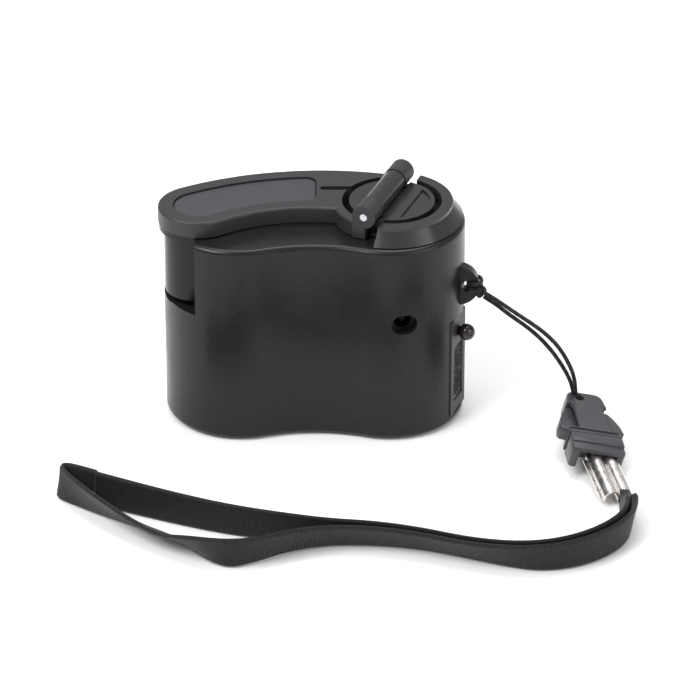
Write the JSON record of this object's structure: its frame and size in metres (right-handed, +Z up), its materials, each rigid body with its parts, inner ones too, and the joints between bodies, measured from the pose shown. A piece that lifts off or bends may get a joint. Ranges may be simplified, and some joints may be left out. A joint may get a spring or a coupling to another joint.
{
  "type": "hand crank phone charger",
  "caption": "Kidney-shaped hand crank generator with a folding crank arm, turning knob, phone socket and a buckled wrist strap.",
  "frame": {"origin": "middle of the base's underside, on the surface it rests on", "axes": "+Z up, +X along the box towards the phone socket, -Y towards the hollow front"},
  "size_m": [0.1115, 0.0804, 0.0505],
  "materials": {
    "housing_plastic": "satin moulded ABS, black with a faint purple cast",
    "hub_plastic": "glossy moulded ABS",
    "arm_plastic": "matt moulded ABS, dark grey",
    "panel_plastic": "matt inlay, purple grey",
    "knob_plastic": "polished black",
    "steel": "ground and zinc plated steel",
    "bronze": "sintered bronze",
    "gear_plastic": "white acetal",
    "core_iron": "stamped iron laminations",
    "coil_copper": "enamelled copper wire",
    "magnet": "sintered ferrite",
    "port_plastic": "matt grey black panel",
    "tongue_plastic": "black nylon",
    "shell_metal": "bright nickel plated sheet",
    "contact_metal": "gold flashed brass",
    "board": "green solder mask on glass fibre board",
    "chip": "moulded epoxy",
    "capacitor_can": "drawn aluminium",
    "led": "dark tinted clear epoxy dome",
    "cord": "black braided polyester cord",
    "buckle_plastic": "moulded acetal, charcoal",
    "clamp_metal": "nickel plated rolled steel",
    "strap": "black woven polyester webbing"
  },
  "bodies": {
    "root": {"housing": "housing_plastic", "base_cover": "housing_plastic", "base_screws": "steel", "plate_screws": "steel", "idler_pin": "steel", "step_pin": "steel", "generator_can": "steel", "hub_bush": "bronze", "lower_bush": "bronze", "upper_bush": "bronze", "gear_plate": "gear_plastic", "stator_core": "core_iron", "stator_coil": "coil_copper", "port_panel": "port_plastic", "usb_tongue": "tongue_plastic", "output_jack": "tongue_plastic", "usb_shell": "shell_metal", "usb_contacts": "contact_metal", "jack_pin": "contact_metal", "circuit_board": "board", "regulator_chip": "chip", "diodes": "chip", "capacitor": "capacitor_can", "indicator_led": "led", "cord_outer": "cord", "cord_inner": "cord", "cord_knot": "cord", "buckle_female": "buckle_plastic", "buckle_male": "buckle_plastic", "strap_clamp": "clamp_metal", "strap_front": "strap", "strap_back": "strap"},
    "hub": {"crank_hub": "hub_plastic", "hub_shaft": "steel", "hub_screw": "steel", "drive_gear": "gear_plastic"},
    "arm": {"crank_arm": "arm_plastic", "arm_panel": "panel_plastic", "hinge_pin": "steel", "knob_pin": "steel", "knob_screw": "steel"},
    "knob": {"knob": "knob_plastic"},
    "idler": {"idler_gear": "gear_plastic"},
    "step": {"step_gear": "gear_plastic"},
    "rotor": {"rotor_shaft": "steel", "rotor_pinion": "gear_plastic", "rotor_magnet": "magnet"}
  },
  "joints": [
    {"name": "crank_spin", "type": "hinge", "parent": "root", "child": "hub", "pos_m": [0.0154, 0.0002, 0.043], "axis": [0, 0, -1], "range_deg": [0, 320]},
    {"name": "crank_flip", "type": "hinge", "parent": "hub", "child": "arm", "pos_m": [0.0137, 0.0001, 0.048], "axis": [0.3633, 0.9317, 0], "range_deg": [0, 180]},
    {"name": "knob_spin", "type": "hinge", "parent": "arm", "child": "knob", "pos_m": [-0.0227, -0.0015, 0.034], "axis": [0, 0, -1], "continuous": true},
    {"name": "idler_spin", "type": "hinge", "parent": "root", "child": "idler", "pos_m": [0.00043, 0.0012, 0.0365], "axis": [0, 0, -1], "continuous": true},
    {"name": "step_spin", "type": "hinge", "parent": "root", "child": "step", "pos_m": [0.0154, 0.0002, 0.0333], "axis": [0, 0, -1], "continuous": true},
    {"name": "rotor_spin", "type": "hinge", "parent": "root", "child": "rotor", "pos_m": [0.00043, 0.0012, 0.02], "axis": [0, 0, -1], "continuous": true}
  ],
  "couplings": [
    {"joint": "idler_spin", "follows": "crank_spin", "ratio": -4},
    {"joint": "step_spin", "follows": "crank_spin", "ratio": 11},
    {"joint": "rotor_spin", "follows": "crank_spin", "ratio": -44}
  ]
}
